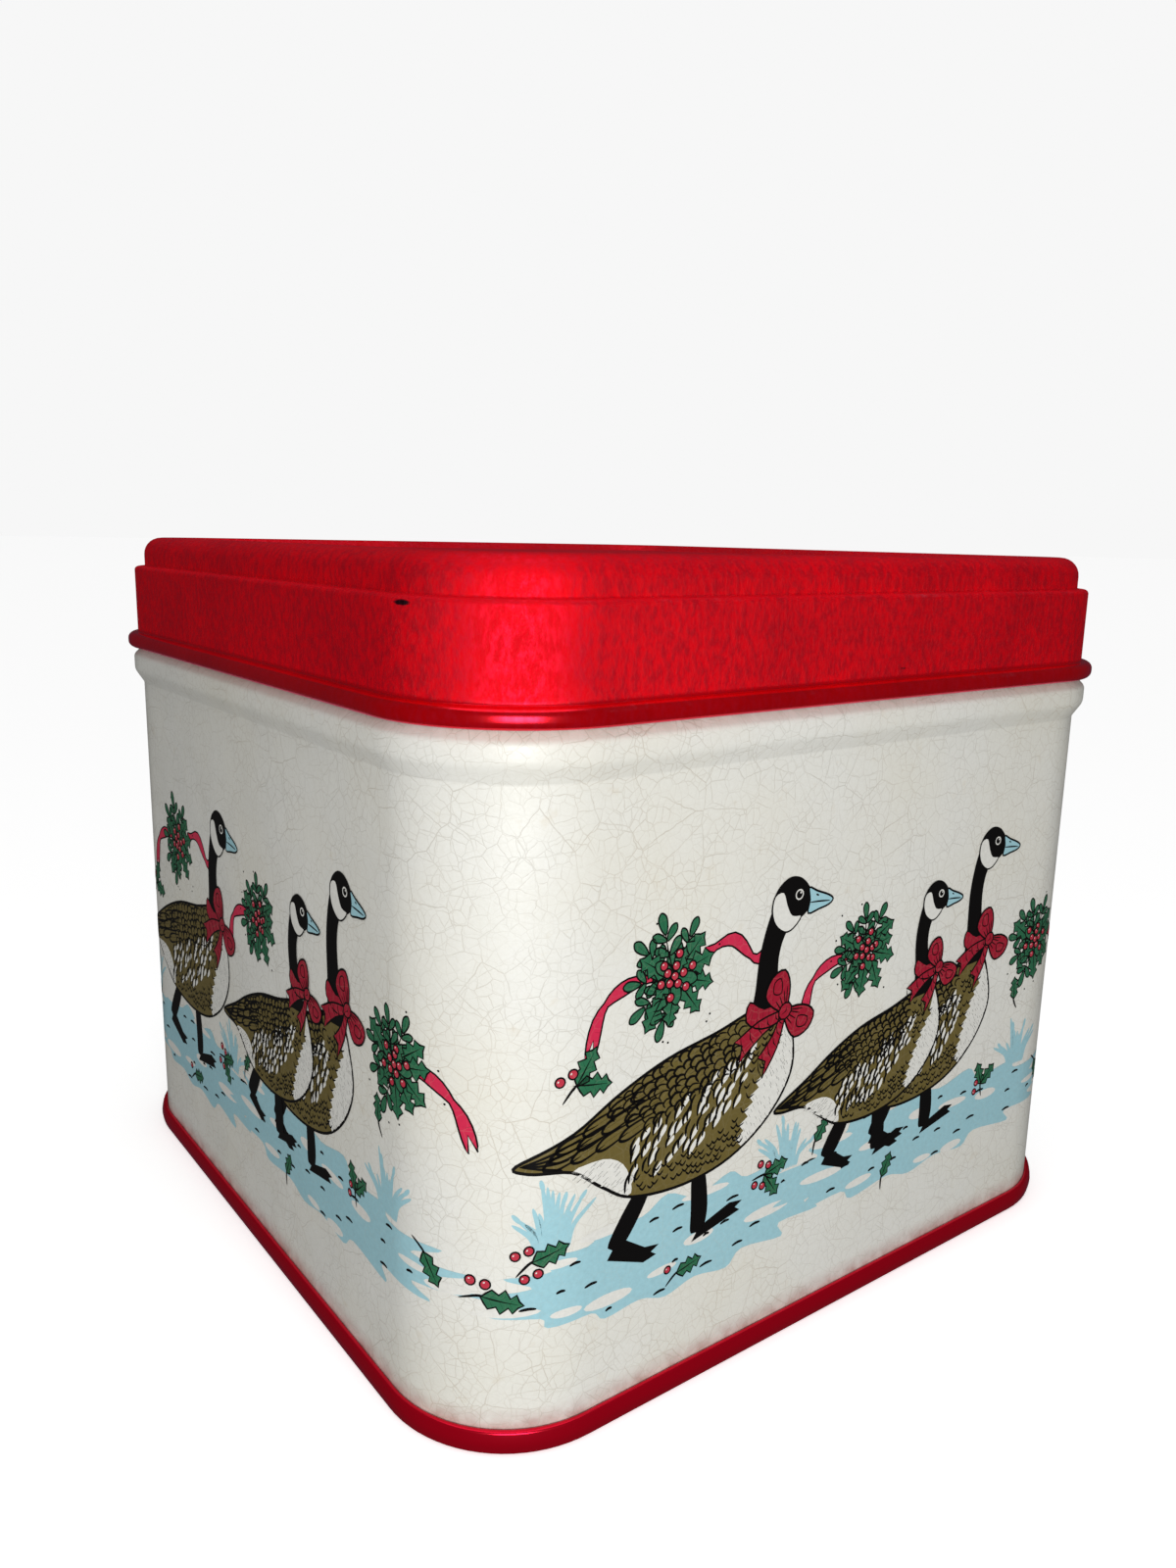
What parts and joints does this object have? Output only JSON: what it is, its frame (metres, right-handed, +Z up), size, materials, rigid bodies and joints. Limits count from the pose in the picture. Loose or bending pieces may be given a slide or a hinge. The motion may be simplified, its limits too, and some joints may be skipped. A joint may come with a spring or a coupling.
{
  "type": "cookie tin",
  "caption": "Square tinplate cookie tin with rounded upright corners, a seamed-in base and a slip-on lid with a stepped skirt and a curled hem.",
  "frame": {"origin": "centre of the footprint, on the surface that the tin stands on", "axes": "+Z up, along the way the lid lifts off; X and Y square to the walls, with the lapped side seam in the wall at -X"},
  "size_m": [0.158, 0.158, 0.1338],
  "materials": {
    "cream_enamel": "glossy cream printing enamel with fine age crackle",
    "red_enamel": "glossy red enamel, scuffed on its edges",
    "printed_ink": "printed picture inks under the same gloss varnish",
    "bare_tin": "bare rolled tinplate with a soft sheen"
  },
  "bodies": {
    "tin": {"body_wall": "cream_enamel", "base_pan": "red_enamel"},
    "lid": {"lid": "red_enamel"}
  },
  "joints": [
    {"name": "lid_lift", "type": "slide", "parent": "tin", "child": "lid", "axis": [0, 0, 1], "range_m": [0, 0.15]}
  ]
}
